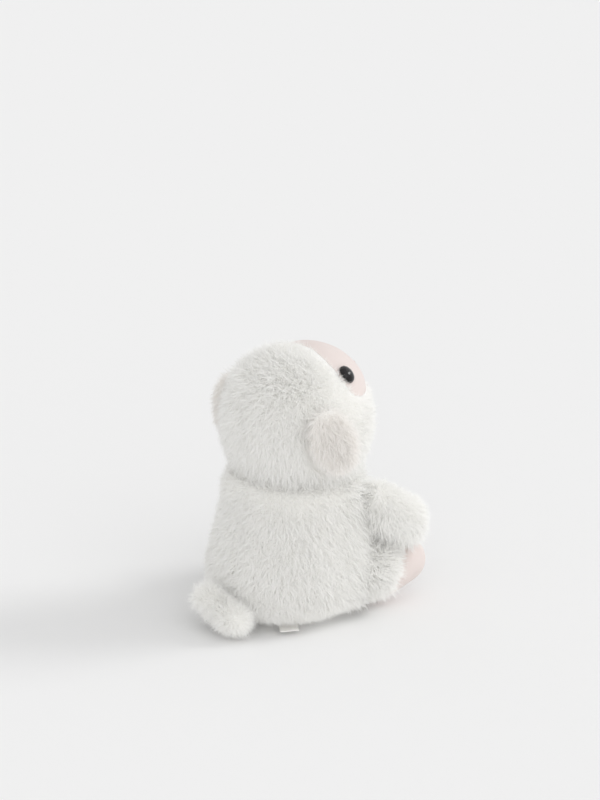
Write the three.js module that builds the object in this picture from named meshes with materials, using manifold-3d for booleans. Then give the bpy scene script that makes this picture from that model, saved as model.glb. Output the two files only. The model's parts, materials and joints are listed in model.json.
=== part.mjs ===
// Sitting plush lamb, palm size, as an assembly of its sewn and filled pieces.
// Millimetres, +Z up. The lamb looks along -Y and upwards, its right side is -X, and it sits on Z = 0.
import * as THREE from "three";
import { mergeVertices } from "three/addons/utils/BufferGeometryUtils.js";
import Module from "manifold-3d";

const wasm = await Module();
wasm.setup();

// Cloth, thread and the gaps between sewn pieces
const furCloth = 5;
const limbCloth = 3.5;
const tailCloth = 2.6;
const fit = 0.3;
const seatClearance = 0.5;
const threadRadius = 0.55;
const overrun = 60;

// Torso: a pear-shaped sack, with its widest place low down
const torsoWidth = 77;
const torsoDepth = 79;
const torsoHeight = 74;
const torsoLean = 5;
const torsoFlat = 0.5;
const torsoProfileShares = [
  [0, 0],
  [0.55, 0.004],
  [0.8, 0.035],
  [0.94, 0.115],
  [1, 0.25],
  [0.985, 0.38],
  [0.925, 0.55],
  [0.86, 0.7],
  [0.82, 0.83],
  [0.79, 0.92],
  [0.66, 0.985],
  [0, 1],
];
const seatSeamHeight = 5;
const bellySeamForward = 13;
const pelletDepth = 21;

// Head: a ball that nests in the top of the torso, with the face turned up
const headRadius = 36.4;
const headForward = 6.6;
const headHeight = 92.4;
const neckDrop = 21;
const faceTilt = THREE.MathUtils.degToRad(42);
const faceBulge = 3;
const faceBulgeSpread = THREE.MathUtils.degToRad(54);
const facePanelWidth = 62;
const facePanelHeight = 38;
const facePanelRise = 4.4;

// Eyes, with a stem through the face and a washer behind it
const eyeDiameter = 9;
const eyeDome = 2.6;
const eyeRim = 0.8;
const eyeStemRadius = 1.3;
const eyeStemLength = 9.6;
const eyePlaceShare = 0.786;
const eyeSide = Math.asin((eyePlaceShare * facePanelWidth) / 2 / headRadius);
const eyeRise = THREE.MathUtils.degToRad(20);
const eyeLookSide = THREE.MathUtils.degToRad(37);
const eyeLookRise = THREE.MathUtils.degToRad(9);
const eyeLift = 0.8;
const washerRadius = 3.6;
const washerThickness = 1.4;
const washerSettle = 2.6;

// Nose and mouth, in satin stitch
const noseWidth = 9;
const noseHeight = 5.5;
const noseStitch = 2.4;
const noseDrop = THREE.MathUtils.degToRad(4);
const mouthDrop = THREE.MathUtils.degToRad(13);
const mouthWidth = 9;
const mouthHeight = 4;

// Ears: flat leaves that hang from a short seam high on each side of the head
const earLength = 30;
const earWidth = 21;
const earThickness = 6;
const earStand = 1.4;
const earRise = THREE.MathUtils.degToRad(20.9);
const earHeading = THREE.MathUtils.degToRad(20.3);
const earFlare = THREE.MathUtils.degToRad(13);
const earTurn = THREE.MathUtils.degToRad(16);
const earSwing = THREE.MathUtils.degToRad(18);
const earProfileShares = [
  [0, 0],
  [0.42, 0.02],
  [0.72, 0.12],
  [0.95, 0.36],
  [1, 0.58],
  [0.78, 0.84],
  [0.42, 0.97],
  [0, 1],
];

// Arms: short rounded stubs that reach forward
const arm = {
  across: 28.8,
  forward: 31.6,
  height: 56,
  aim: [0.04, -0.8, -0.6],
  rootRadius: 11,
  radius: 12.7,
  length: 31,
  profileShares: [
    [0.93, 0.36],
    [1, 0.57],
    [0.9, 0.78],
    [0.55, 0.94],
  ],
};

// Legs: thicker stubs that lie on the floor, each with a velour foot
const leg = {
  across: 22.5,
  forward: 30,
  height: 16.2,
  aim: [0.09, -0.98, 0.14],
  rootRadius: 15.5,
  radius: 12.1,
  length: 33.5,
  profileShares: [
    [1, 0.4],
    [1, 0.62],
    [0.92, 0.8],
    [0.6, 0.95],
  ],
};
const footSeam = 12;
const rootAngle = THREE.MathUtils.degToRad(28);
const rootRings = 4;

// Tail: a bunched pod of two lobes, sewn on low at the back
const tailLength = 37;
const tailRadius = 8;
const tailBack = 42;
const tailHeight = 12.2;
const tailAcross = 3;
const tailSlope = THREE.MathUtils.degToRad(17);
const tailProfileShares = [
  [0, 0],
  [0.72, 0.06],
  [1, 0.22],
  [0.92, 0.36],
  [0.7, 0.5],
  [0.92, 0.64],
  [1, 0.78],
  [0.72, 0.94],
  [0, 1],
];

// Closing thread and sewn-in label
const closingBottom = 27;
const closingTop = 47;
const closingStitches = 5;
const closingStep = 1.6;
const labelWidth = 9;
const labelReach = 5;
const labelThickness = 0.8;
const labelHeight = 2.6;
const labelHeading = THREE.MathUtils.degToRad(142);

// Counts of faces round and along each form; what lies inside a skin has fewer by the coarseness
const coarse = 2;
const torsoSides = 24;
const torsoRings = 12;
const headSides = 24;
const headRings = 14;
const seatSides = 24;
const seatRings = 16;
const socketSides = 18;
const socketRings = 12;
const limbSides = 16;
const limbRings = 6;
const earSides = 12;
const earRings = 8;
const ovalSides = 28;
const domeRings = 4;
const roundSides = 16;
const threadSides = 6;
const mouthSteps = 12;
const profileSteps = 240;

const furWhite = new THREE.MeshStandardMaterial({ color: "#eceae6", roughness: 0.95, metalness: 0 });
const velourPink = new THREE.MeshStandardMaterial({ color: "#ecd3cb", roughness: 0.9, metalness: 0 });
const fillWhite = new THREE.MeshStandardMaterial({ color: "#f4f3ef", roughness: 1, metalness: 0 });
const pouchCloth = new THREE.MeshStandardMaterial({ color: "#d9d4c8", roughness: 0.9, metalness: 0 });
const eyeBlack = new THREE.MeshStandardMaterial({ color: "#0b0a0a", roughness: 0.08, metalness: 0 });
const washerWhite = new THREE.MeshStandardMaterial({ color: "#e6e6e2", roughness: 0.5, metalness: 0 });
const threadPink = new THREE.MeshStandardMaterial({ color: "#c98f8b", roughness: 0.7, metalness: 0 });
const threadWhite = new THREE.MeshStandardMaterial({ color: "#f0eee9", roughness: 0.7, metalness: 0 });
const labelWhite = new THREE.MeshStandardMaterial({ color: "#f3f2ef", roughness: 0.6, metalness: 0 });

// Turns a closed geometry into a solid that can be cut and joined.
function solid(geometry) {
  const bare = new THREE.BufferGeometry();
  bare.setAttribute("position", geometry.getAttribute("position"));
  bare.setIndex(geometry.index);
  const merged = mergeVertices(bare);
  const corners = merged.index.array;
  const faces = [];
  for (let i = 0; i < corners.length; i += 3) {
    const [a, b, c] = corners.slice(i, i + 3);
    if (a !== b && b !== c && c !== a) faces.push(a, b, c);
  }
  const vertProperties = new Float32Array(merged.getAttribute("position").array);
  const mesh = new wasm.Mesh({ numProp: 3, vertProperties, triVerts: new Uint32Array(faces) });
  return new wasm.Manifold(mesh);
}

// Turns a solid back into a geometry.
function geometryOf(body) {
  const { vertProperties, triVerts } = body.getMesh();
  const geometry = new THREE.BufferGeometry();
  geometry.setAttribute("position", new THREE.BufferAttribute(new Float32Array(vertProperties), 3));
  geometry.setIndex(new THREE.BufferAttribute(new Uint32Array(triVerts), 1));
  geometry.computeVertexNormals();
  return geometry;
}

function addPiece(group, name, body, material) {
  const mesh = new THREE.Mesh(geometryOf(body), material.clone());
  mesh.name = name;
  group.add(mesh);
  return mesh;
}

// Revolves a profile of [radius, height] points about the Z axis.
function revolve(points, sides) {
  const profile = points.map(([radius, height]) => new THREE.Vector2(radius, height));
  return new THREE.LatheGeometry(profile, sides).rotateX(Math.PI / 2);
}

// Smooth points through a rough profile, with both ends kept where they are.
function smoothProfile(points, rings) {
  const curve = new THREE.SplineCurve(points.map(([radius, height]) => new THREE.Vector2(radius, height)));
  const smooth = curve.getPoints(rings).map((p) => [Math.max(p.x, 0), p.y]);
  smooth[0] = points[0];
  smooth[rings] = points[points.length - 1];
  return smooth;
}

function ball(radius, sides, rings) {
  return new THREE.SphereGeometry(radius, sides, rings).rotateX(Math.PI / 2);
}

function ballAt(radius, [x, y, z], around, along) {
  return solid(ball(radius, around, along).translate(x, y, z));
}

// A block that fills the half space on one side of a plane across X, Y or Z.
function halfSpace(axis, from, direction) {
  const size = 2 * overrun + 2 * headHeight;
  const block = new THREE.BoxGeometry(size, size, size);
  const place = new THREE.Vector3();
  place[axis] = from + (direction * size) / 2;
  return solid(block.translate(place.x, place.y, place.z));
}

function moveVertices(geometry, change) {
  const position = geometry.getAttribute("position");
  const point = new THREE.Vector3();
  for (let i = 0; i < position.count; i += 1) {
    point.fromBufferAttribute(position, i);
    change(point);
    position.setXYZ(i, point.x, point.y, point.z);
  }
  return geometry;
}

const headCentre = [0, -headForward, headHeight];
const faceDirection = new THREE.Vector3(0, -Math.cos(faceTilt), Math.sin(faceTilt));

// Torso surface, drawn in by an inset
function torsoPod(inset, coarseness = 1) {
  const radius = torsoWidth / 2 - inset;
  const height = torsoHeight - 2 * inset;
  const points = torsoProfileShares.map(([r, h]) => [r * radius, inset + h * height - torsoFlat]);
  const pod = revolve(smoothProfile(points, torsoRings / coarseness), torsoSides / coarseness);
  const depthScale = (torsoDepth / 2 - inset) / radius;
  return moveVertices(pod, (p) => {
    p.y = p.y * depthScale - (torsoLean * Math.max(p.z, 0)) / torsoHeight;
  });
}

function torsoSack(inset, coarseness = 1) {
  const radius = headRadius + seatClearance + inset;
  const seat = ballAt(radius, headCentre, seatSides / coarseness, seatRings / coarseness);
  return solid(torsoPod(inset, coarseness)).subtract(seat);
}

// Head surface, drawn in by an inset, about the head's own centre
function headBall(inset, coarseness = 1) {
  const shape = ball(headRadius - inset, headSides / coarseness, headRings / coarseness);
  return moveVertices(shape, (p) => {
    const angle = p.angleTo(faceDirection);
    const nearness = Math.max(0, 1 - angle / faceBulgeSpread);
    const rise = nearness * nearness * (3 - 2 * nearness);
    p.setLength(p.length() + faceBulge * rise);
  });
}

// Arms and legs share one build: a ball root, a swelling middle and a closed round end.
function limbProfile(limb, inset) {
  const radius = limb.radius - inset;
  const length = limb.length - inset;
  const root = limb.rootRadius - inset;
  const waist = [root * Math.cos(rootAngle), root * Math.sin(rootAngle)];
  const shape = limb.profileShares.map(([r, h]) => [r * radius, h * length]);
  return { root, swell: smoothProfile([waist, ...shape, [0, length]], limbRings) };
}

// The skin's outside, with its ball root
function limbOutside(limb) {
  const { root, swell } = limbProfile(limb, 0);
  const arc = [];
  for (let i = 0; i < rootRings; i += 1) {
    const angle = (i / rootRings) * (Math.PI / 2 + rootAngle);
    arc.push([root * Math.sin(angle), -root * Math.cos(angle)]);
  }
  return solid(revolve([...arc, ...swell], limbSides));
}

// The room inside a skin, or its filling, with a flat end this far behind the pivot
function limbInside(limb, inset, behind) {
  const { swell } = limbProfile(limb, inset);
  const neck = swell[0][0];
  return solid(revolve([[0, -behind], [neck, -behind], ...swell], limbSides / coarse));
}

function limbSkin(limb) {
  return limbOutside(limb).subtract(limbInside(limb, limbCloth, limb.rootRadius + overrun));
}

function limbFill(limb) {
  const inset = limbCloth + fit;
  return limbInside(limb, inset, (limb.rootRadius - inset) * Math.cos(rootAngle));
}

function limbPivot(limb, side) {
  return [side * limb.across, -limb.forward, limb.height];
}

function limbGroup(limb, side) {
  const group = new THREE.Group();
  group.position.set(...limbPivot(limb, side));
  const aim = new THREE.Vector3(side * limb.aim[0], limb.aim[1], limb.aim[2]).normalize();
  group.quaternion.setFromUnitVectors(new THREE.Vector3(0, 0, 1), aim);
  return group;
}

// Closing thread and label stand on the torso's surface at a height and heading.
function torsoSurface(heading, height, proud) {
  const target = height + torsoFlat;
  const points = torsoProfileShares.map(([r, h]) => [(r * torsoWidth) / 2, h * torsoHeight]);
  const profile = smoothProfile(points, profileSteps);
  const level = profile.find(([, h]) => h >= target);
  const across = level[0] + proud;
  const along = (level[0] * torsoDepth) / torsoWidth + proud;
  const lean = (torsoLean * height) / torsoHeight;
  return new THREE.Vector3(Math.cos(heading) * across, Math.sin(heading) * along - lean, height);
}

function tube(points, radius, sides, steps) {
  const section = new THREE.Shape();
  section.absarc(0, 0, radius, 0, 2 * Math.PI);
  const extrudePath = new THREE.CatmullRomCurve3(points);
  return new THREE.ExtrudeGeometry(section, { steps, curveSegments: sides / 2, bevelEnabled: false, extrudePath });
}

const sides = { left: 1, right: -1 };

// Leaves room in a torso piece for the ball roots of the arms and legs.
function withSockets(body, clearance) {
  let cut = body;
  for (const side of Object.values(sides)) {
    for (const limb of [arm, leg]) {
      const radius = limb.rootRadius + clearance;
      cut = cut.subtract(ballAt(radius, limbPivot(limb, side), socketSides, socketRings));
    }
  }
  return cut;
}

function makeTorso() {
  const group = new THREE.Group();
  const sack = torsoSack(0).subtract(torsoSack(furCloth, coarse)).intersect(halfSpace("z", 0, 1));
  const skin = withSockets(sack, seatClearance);
  const seat = skin.intersect(halfSpace("z", seatSeamHeight, -1));
  const wall = skin.intersect(halfSpace("z", seatSeamHeight + fit, 1));
  const belly = wall.intersect(halfSpace("y", -bellySeamForward, -1));
  const back = wall.intersect(halfSpace("y", -bellySeamForward + fit, 1));
  addPiece(group, "seat_panel", seat, furWhite);
  addPiece(group, "belly_panel", belly, furWhite);
  addPiece(group, "back_panel_left", back.intersect(halfSpace("x", fit / 2, 1)), furWhite);
  addPiece(group, "back_panel_right", back.intersect(halfSpace("x", -fit / 2, -1)), furWhite);

  const fill = withSockets(torsoSack(furCloth + fit, coarse), seatClearance + fit);
  addPiece(group, "body_stuffing", fill.intersect(halfSpace("z", pelletDepth + fit, 1)), fillWhite);
  addPiece(group, "pellet_pouch", fill.intersect(halfSpace("z", pelletDepth, -1)), pouchCloth);
  addPiece(group, "closing_thread", closingThread(), threadWhite);
  addPiece(group, "blank_label", blankLabel(), labelWhite);
  return group;
}

// The ladder stitch that closes the back, a zigzag over the centre seam
function closingThread() {
  const points = [];
  for (let i = 0; i <= 2 * closingStitches; i += 1) {
    const height = closingBottom + ((closingTop - closingBottom) * i) / (2 * closingStitches);
    const point = torsoSurface(Math.PI / 2, height, threadRadius + fit);
    point.x += closingStep * (i % 2 ? 1 : -1);
    points.push(point);
  }
  return solid(tube(points, threadRadius, threadSides, 4 * closingStitches));
}

// A plain folded tab caught in the seat seam
function blankLabel() {
  const tab = new THREE.BoxGeometry(labelReach, labelWidth, labelThickness);
  const place = torsoSurface(labelHeading, labelHeight, labelReach / 2 - threadRadius);
  tab.rotateZ(labelHeading).translate(place.x, place.y, place.z);
  return solid(tab).subtract(solid(torsoPod(-fit)));
}

// The thread ring that sews the head to the collar, about the head's centre
function neckRing() {
  const reach = Math.sqrt(headRadius ** 2 - neckDrop ** 2) + threadRadius + fit;
  return solid(new THREE.TorusGeometry(reach, threadRadius, threadSides, seatSides).translate(0, 0, -neckDrop));
}

function makeNeck() {
  const group = new THREE.Group();
  group.position.set(...headCentre);
  addPiece(group, "neck_thread", neckRing(), threadWhite);
  return group;
}

// Turns a shape that stands along +Z to look along a direction.
function aimed(geometry, direction) {
  const turn = new THREE.Quaternion().setFromUnitVectors(new THREE.Vector3(0, 0, 1), direction);
  return geometry.applyQuaternion(turn);
}

// A direction on the face, measured sideways and upwards from its middle
function faceHeading(sideways, upwards) {
  const heading = new THREE.Vector3(0, -1, 0);
  heading.applyAxisAngle(new THREE.Vector3(1, 0, 0), -upwards);
  heading.applyAxisAngle(new THREE.Vector3(0, 0, 1), sideways);
  return heading.applyAxisAngle(new THREE.Vector3(1, 0, 0), -faceTilt);
}

// Distance from the head's centre to its surface along a direction
function headReach(direction) {
  const nearness = Math.max(0, 1 - direction.angleTo(faceDirection) / faceBulgeSpread);
  return headRadius + faceBulge * nearness * nearness * (3 - 2 * nearness);
}

function facePanelCutter(gap) {
  const oval = new THREE.CylinderGeometry(1, 1, overrun, ovalSides).rotateX(Math.PI / 2);
  oval.scale(facePanelWidth / 2 + gap, facePanelHeight / 2 + gap, 1).translate(0, facePanelRise, overrun / 2);
  return solid(oval.rotateX(Math.PI / 2 - faceTilt));
}

// One eye's solids, built along +Z from the cloth's surface and then set in the face
function eyeParts(side) {
  const heading = faceHeading(side * eyeSide, eyeRise);
  const place = heading.clone().multiplyScalar(headReach(heading));
  const look = faceHeading(side * eyeLookSide, eyeLookRise);
  const set = (geometry) => solid(aimed(geometry, look).translate(place.x, place.y, place.z));
  const base = eyeLift - eyeRim;
  const dome = [];
  for (let i = 0; i < domeRings; i += 1) {
    const angle = (i / domeRings) * (Math.PI / 2);
    dome.push([(eyeDiameter / 2) * Math.cos(angle), eyeLift + eyeDome * Math.sin(angle)]);
  }
  dome.push([0, eyeLift + eyeDome]);
  const stemEnd = base - eyeStemLength;
  const stem = [[0, stemEnd], [eyeStemRadius, stemEnd], [eyeStemRadius, base], [eyeDiameter / 2, base]];
  const eye = set(revolve([...stem, ...dome], roundSides));
  const pocket = set(rod(eyeDiameter / 2 + fit, base - fit, overrun));
  const hole = set(rod(eyeStemRadius + fit, stemEnd - fit, overrun));
  const washerTop = -furCloth - fit - washerSettle;
  const washer = set(rod(washerRadius, washerTop - washerThickness, washerTop)).subtract(hole);
  const room = set(rod(washerRadius + fit, stemEnd - fit, overrun));
  return { eye, pocket, hole, washer, room };
}

function rod(radius, from, to) {
  const length = to - from;
  const bar = new THREE.CylinderGeometry(radius, radius, length, roundSides).rotateX(Math.PI / 2);
  return bar.translate(0, 0, (from + to) / 2);
}

function nosePad() {
  const heading = faceHeading(0, -noseDrop);
  const pad = ball(1, roundSides, 2 * domeRings).scale(noseWidth / 2, noseHeight / 2, noseStitch / 2);
  pad.translate(0, 0, headReach(heading));
  return solid(aimed(pad, heading)).subtract(solid(headBall(-fit)));
}

// The mouth, a shallow curve of thread below the nose
function mouthLine() {
  const points = [];
  for (let i = 0; i <= mouthSteps; i += 1) {
    const share = (2 * i) / mouthSteps - 1;
    const sideways = Math.atan((share * mouthWidth) / 2 / headRadius);
    const lift = Math.atan((share * share * mouthHeight) / headRadius);
    const heading = faceHeading(sideways, lift - mouthDrop);
    points.push(heading.clone().multiplyScalar(headReach(heading) + threadRadius + fit));
  }
  return solid(tube(points, threadRadius, threadSides, mouthSteps));
}

function makeHead() {
  const group = new THREE.Group();
  group.position.set(...headCentre);
  let shell = solid(headBall(0)).subtract(solid(headBall(furCloth, coarse)));
  let fill = solid(headBall(furCloth + fit, coarse));
  for (const [name, side] of Object.entries(sides)) {
    const { eye, pocket, hole, washer, room } = eyeParts(side);
    shell = shell.subtract(pocket).subtract(hole);
    fill = fill.subtract(room);
    addPiece(group, "eye_" + name, eye, eyeBlack);
    addPiece(group, "eye_washer_" + name, washer, washerWhite);
  }
  const sidePanels = shell.subtract(facePanelCutter(fit));
  addPiece(group, "face_panel", shell.intersect(facePanelCutter(0)), velourPink);
  addPiece(group, "head_panel_left", sidePanels.intersect(halfSpace("x", fit / 2, 1)), furWhite);
  addPiece(group, "head_panel_right", sidePanels.intersect(halfSpace("x", -fit / 2, -1)), furWhite);
  addPiece(group, "head_stuffing", fill, fillWhite);
  addPiece(group, "nose_stitching", nosePad(), threadPink);
  addPiece(group, "mouth_stitching", mouthLine(), threadPink);
  for (const [name, side] of Object.entries(sides)) group.add(makeEar(name, side));
  return group;
}

// An ear hangs along its own -Z from the seam, with its lining towards the head.
function makeEar(name, side) {
  const group = new THREE.Group();
  const root = new THREE.Vector3(side * Math.cos(earHeading), Math.sin(earHeading), Math.tan(earRise));
  group.position.copy(root.setLength(headRadius + earStand));
  group.rotation.set(-earSwing, -side * earFlare, side * earTurn);
  const points = earProfileShares.map(([r, h]) => [(r * earWidth) / 2, earThickness / 2 - h * earLength]);
  const leaf = revolve(smoothProfile(points, earRings).reverse(), earSides);
  leaf.rotateZ(Math.PI / earSides).scale(earThickness / earWidth, 1, 1);
  group.updateMatrix();
  const toEar = group.matrix.clone().invert();
  const clear = solid(headBall(-fit).applyMatrix4(toEar));
  const whole = solid(leaf).subtract(clear);
  addPiece(group, "ear_back_" + name, whole.intersect(halfSpace("x", (side * fit) / 2, side)), furWhite);
  addPiece(group, "ear_lining_" + name, whole.intersect(halfSpace("x", (-side * fit) / 2, -side)), velourPink);
  return group;
}

function makeArm(name, side) {
  const group = limbGroup(arm, side);
  addPiece(group, "arm_skin_" + name, limbSkin(arm), furWhite);
  addPiece(group, "arm_stuffing_" + name, limbFill(arm), fillWhite);
  return group;
}

function makeLeg(name, side) {
  const group = limbGroup(leg, side);
  const skin = limbSkin(leg);
  addPiece(group, "leg_skin_" + name, skin.intersect(halfSpace("z", footSeam, -1)), furWhite);
  addPiece(group, "foot_cap_" + name, skin.intersect(halfSpace("z", footSeam + fit, 1)), velourPink);
  addPiece(group, "leg_stuffing_" + name, limbFill(leg), fillWhite);
  return group;
}

function tailPod(inset, coarseness = 1) {
  const radius = tailRadius - inset;
  const length = tailLength - 2 * inset;
  const points = tailProfileShares.map(([r, h]) => [r * radius, (h - 1 / 2) * length]);
  const pod = revolve(smoothProfile(points, 2 * limbRings), limbSides / coarseness);
  return pod.rotateY(Math.PI / 2 - tailSlope).translate(-tailAcross, tailBack, tailHeight);
}

function makeTail() {
  const group = new THREE.Group();
  const clear = solid(torsoPod(-fit));
  const skin = solid(tailPod(0)).subtract(solid(tailPod(tailCloth, coarse)));
  addPiece(group, "tail_skin", skin.subtract(clear), furWhite);
  const fill = solid(tailPod(tailCloth + fit, coarse));
  addPiece(group, "tail_stuffing", fill.subtract(solid(torsoPod(-2 * fit))), fillWhite);
  return group;
}

const lamb = new THREE.Group();
lamb.add(makeTorso(), makeNeck(), makeHead(), makeTail());
for (const [name, side] of Object.entries(sides)) lamb.add(makeArm(name, side), makeLeg(name, side));

export default lamb;
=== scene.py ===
# %% [markdown]
# A sitting plush lamb, palm size. The real toy is cut from two cloths, a white fur with a dense
# soft pile and a pink velour, sewn into covers and stuffed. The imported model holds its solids. This
# scene keeps their places and gives each piece its real surface: stuffed cloth covers, a pile of
# modelled strands, glossy eyes and stitched details.

# %% The fixed frame and the box it fills
import json
import math

import bmesh
import bpy
from mathutils import Matrix, Vector
from mathutils.bvhtree import BVHTree


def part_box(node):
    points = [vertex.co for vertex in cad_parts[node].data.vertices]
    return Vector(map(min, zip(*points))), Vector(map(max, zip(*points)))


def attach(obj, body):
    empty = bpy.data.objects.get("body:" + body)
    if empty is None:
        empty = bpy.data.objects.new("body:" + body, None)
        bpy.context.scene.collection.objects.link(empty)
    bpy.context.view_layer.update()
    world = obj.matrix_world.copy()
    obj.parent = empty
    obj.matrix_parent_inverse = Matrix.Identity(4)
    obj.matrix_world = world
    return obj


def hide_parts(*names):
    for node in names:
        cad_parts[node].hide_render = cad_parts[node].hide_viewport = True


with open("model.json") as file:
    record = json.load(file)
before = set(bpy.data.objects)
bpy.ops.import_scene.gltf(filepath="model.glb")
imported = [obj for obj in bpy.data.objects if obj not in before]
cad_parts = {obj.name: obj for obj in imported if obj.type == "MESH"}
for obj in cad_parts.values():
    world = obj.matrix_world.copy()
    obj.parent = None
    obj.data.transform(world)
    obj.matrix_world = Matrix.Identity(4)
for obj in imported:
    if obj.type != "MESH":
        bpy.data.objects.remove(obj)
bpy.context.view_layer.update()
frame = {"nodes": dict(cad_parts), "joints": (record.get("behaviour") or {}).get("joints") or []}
scene = bpy.context.scene
mm = 0.001
merge_gap = 0.01 * mm

# %% [markdown]
# The photograph looks at the lamb's right rear from a little above, through a long lens. A camera
# could be placed by eye. Here it is worked out: the view's azimuth and elevation give three
# directions, and one pixel with a known place fixes where the lens looks.

# %% Camera
scene.view_settings.view_transform = "Standard"
azimuth, elevation = math.radians(228), math.radians(20)
view_right = Vector((math.cos(azimuth), math.sin(azimuth), 0))
view_level = Vector((math.sin(azimuth), -math.cos(azimuth), 0))
view_back = view_level * math.cos(elevation) + Vector((0, 0, math.sin(elevation)))
view_up = view_back.cross(view_right)
photo_width, photo_height = 600, 800
pixels_per_metre = 2128
seat_pixel = (285, 609)
lens, sensor = 300, 36

camera = bpy.data.objects.new("camera", bpy.data.cameras.new("camera"))
scene.collection.objects.link(camera)
camera.data.lens = lens
camera.data.sensor_width = sensor
camera.data.clip_end = 20
to_the_right = (photo_width / 2 - seat_pixel[0]) / pixels_per_metre
upwards = (seat_pixel[1] - photo_height / 2) / pixels_per_metre
distance = photo_height / pixels_per_metre * lens / sensor
camera.location = view_right * to_the_right + view_up * upwards + view_back * distance
camera.rotation_euler = Matrix((view_right, view_up, view_back)).transposed().to_euler()
scene.camera = camera
print("camera distance, m:", round(distance, 2))

# %% [markdown]
# The studio is a pale sweep under soft light. One lamp could light it, but white cloth then burns
# out on one side. Here a bright sky lights every side at a plain level. Rays that are seen or
# mirrored meet a plain backdrop instead. Two suns from the right of the view, a broad and a narrow
# one, throw the soft shadow on the left and the glint in the eyes, and a third near the camera
# fills in.

# %% Sky and sun
backdrop_grey, floor_grey = 0.86, 0.88
sky_level = 0.7
sun_rise = math.radians(35)

world = bpy.data.worlds.new("studio_sky")
scene.world = world
world.use_nodes = True
sky_nodes, sky_link = world.node_tree.nodes, world.node_tree.links.new
sky_nodes["Background"].inputs["Color"].default_value = (1, 1, 1, 1)
sky_nodes["Background"].inputs["Strength"].default_value = sky_level
backdrop = sky_nodes.new("ShaderNodeBackground")
backdrop.inputs["Color"].default_value = (backdrop_grey,) * 3 + (1,)
ray = sky_nodes.new("ShaderNodeLightPath")
seen = ray.outputs["Is Camera Ray"]
for kind in ("Is Transmission Ray", "Is Glossy Ray"):
    either_kind = sky_nodes.new("ShaderNodeMath")
    either_kind.operation = "ADD"
    sky_link(seen, either_kind.inputs[0])
    sky_link(ray.outputs[kind], either_kind.inputs[1])
    seen = either_kind.outputs[0]
either = sky_nodes.new("ShaderNodeMixShader")
sky_link(seen, either.inputs["Fac"])
sky_link(sky_nodes["Background"].outputs["Background"], either.inputs[1])
sky_link(backdrop.outputs["Background"], either.inputs[2])
sky_link(either.outputs["Shader"], sky_nodes["World Output"].inputs["Surface"])


def add_sun(name, level, spread, heading):
    sun = bpy.data.objects.new(name, bpy.data.lights.new(name, "SUN"))
    scene.collection.objects.link(sun)
    sun.data.energy = level
    sun.data.angle = math.radians(spread)
    to_sun = heading.normalized() * math.cos(sun_rise) + Vector((0, 0, math.sin(sun_rise)))
    sun.rotation_euler = to_sun.to_track_quat("Z", "Y").to_euler()


add_sun("broad_sun", 0.22, 65, view_right - view_level * 0.2)
add_sun("narrow_sun", 0.75, 22, view_right - view_level * 0.25)
add_sun("fill_sun", 0.62, 65, view_level + view_right * 0.3)

# %% [markdown]
# White fur is bright because light bounces from strand to strand many times before it leaves. The
# path tracer stops after four such bounces, which greys the pile, so more are allowed.

# %% Light bounces in the pile
scene.cycles.diffuse_bounces = 12
scene.cycles.max_bounces = 14

# %% [markdown]
# Every new piece goes from a bmesh into an object at the origin. A small helper does that, because
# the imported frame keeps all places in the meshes.

# %% Objects from bmeshes


def mesh_object(name, bm, material=None, smooth=True):
    mesh = bpy.data.meshes.new(name)
    bm.to_mesh(mesh)
    bm.free()
    for polygon in mesh.polygons:
        polygon.use_smooth = smooth
    if material:
        mesh.materials.append(material)
    piece = bpy.data.objects.new(name, mesh)
    scene.collection.objects.link(piece)
    return piece


def settle(piece, smooth=True):
    """Turns a piece's modifiers into plain mesh."""
    depsgraph = bpy.context.evaluated_depsgraph_get()
    mesh = bpy.data.meshes.new_from_object(piece.evaluated_get(depsgraph))
    piece.modifiers.clear()
    old, piece.data = piece.data, mesh
    bpy.data.meshes.remove(old)
    for polygon in mesh.polygons:
        polygon.use_smooth = smooth
    return piece


# %% [markdown]
# The floor is a plain sweep. A finite board would show its edge, so the grid reaches far behind the
# camera's view.

# %% Floor
floor_reach = 30
floor_paint = bpy.data.materials.new("pale_floor")
floor_paint.use_nodes = True
floor_surface = floor_paint.node_tree.nodes["Principled BSDF"]
floor_surface.inputs["Base Color"].default_value = (floor_grey,) * 3 + (1,)
floor_surface.inputs["Roughness"].default_value = 1
floor_surface.inputs["Specular IOR Level"].default_value = 0
floor_bm = bmesh.new()
bmesh.ops.create_grid(floor_bm, x_segments=1, y_segments=1, size=floor_reach)
mesh_object("floor", floor_bm, floor_paint)

# %% [markdown]
# Several cloths share two effects: a slight mottle, where pile lies one way or another, and a fine
# nap. A painted texture would do it, but a node group built once keeps both procedural, and each
# material sets its own scale and strength.

# %% A node group for mottle and nap


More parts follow.
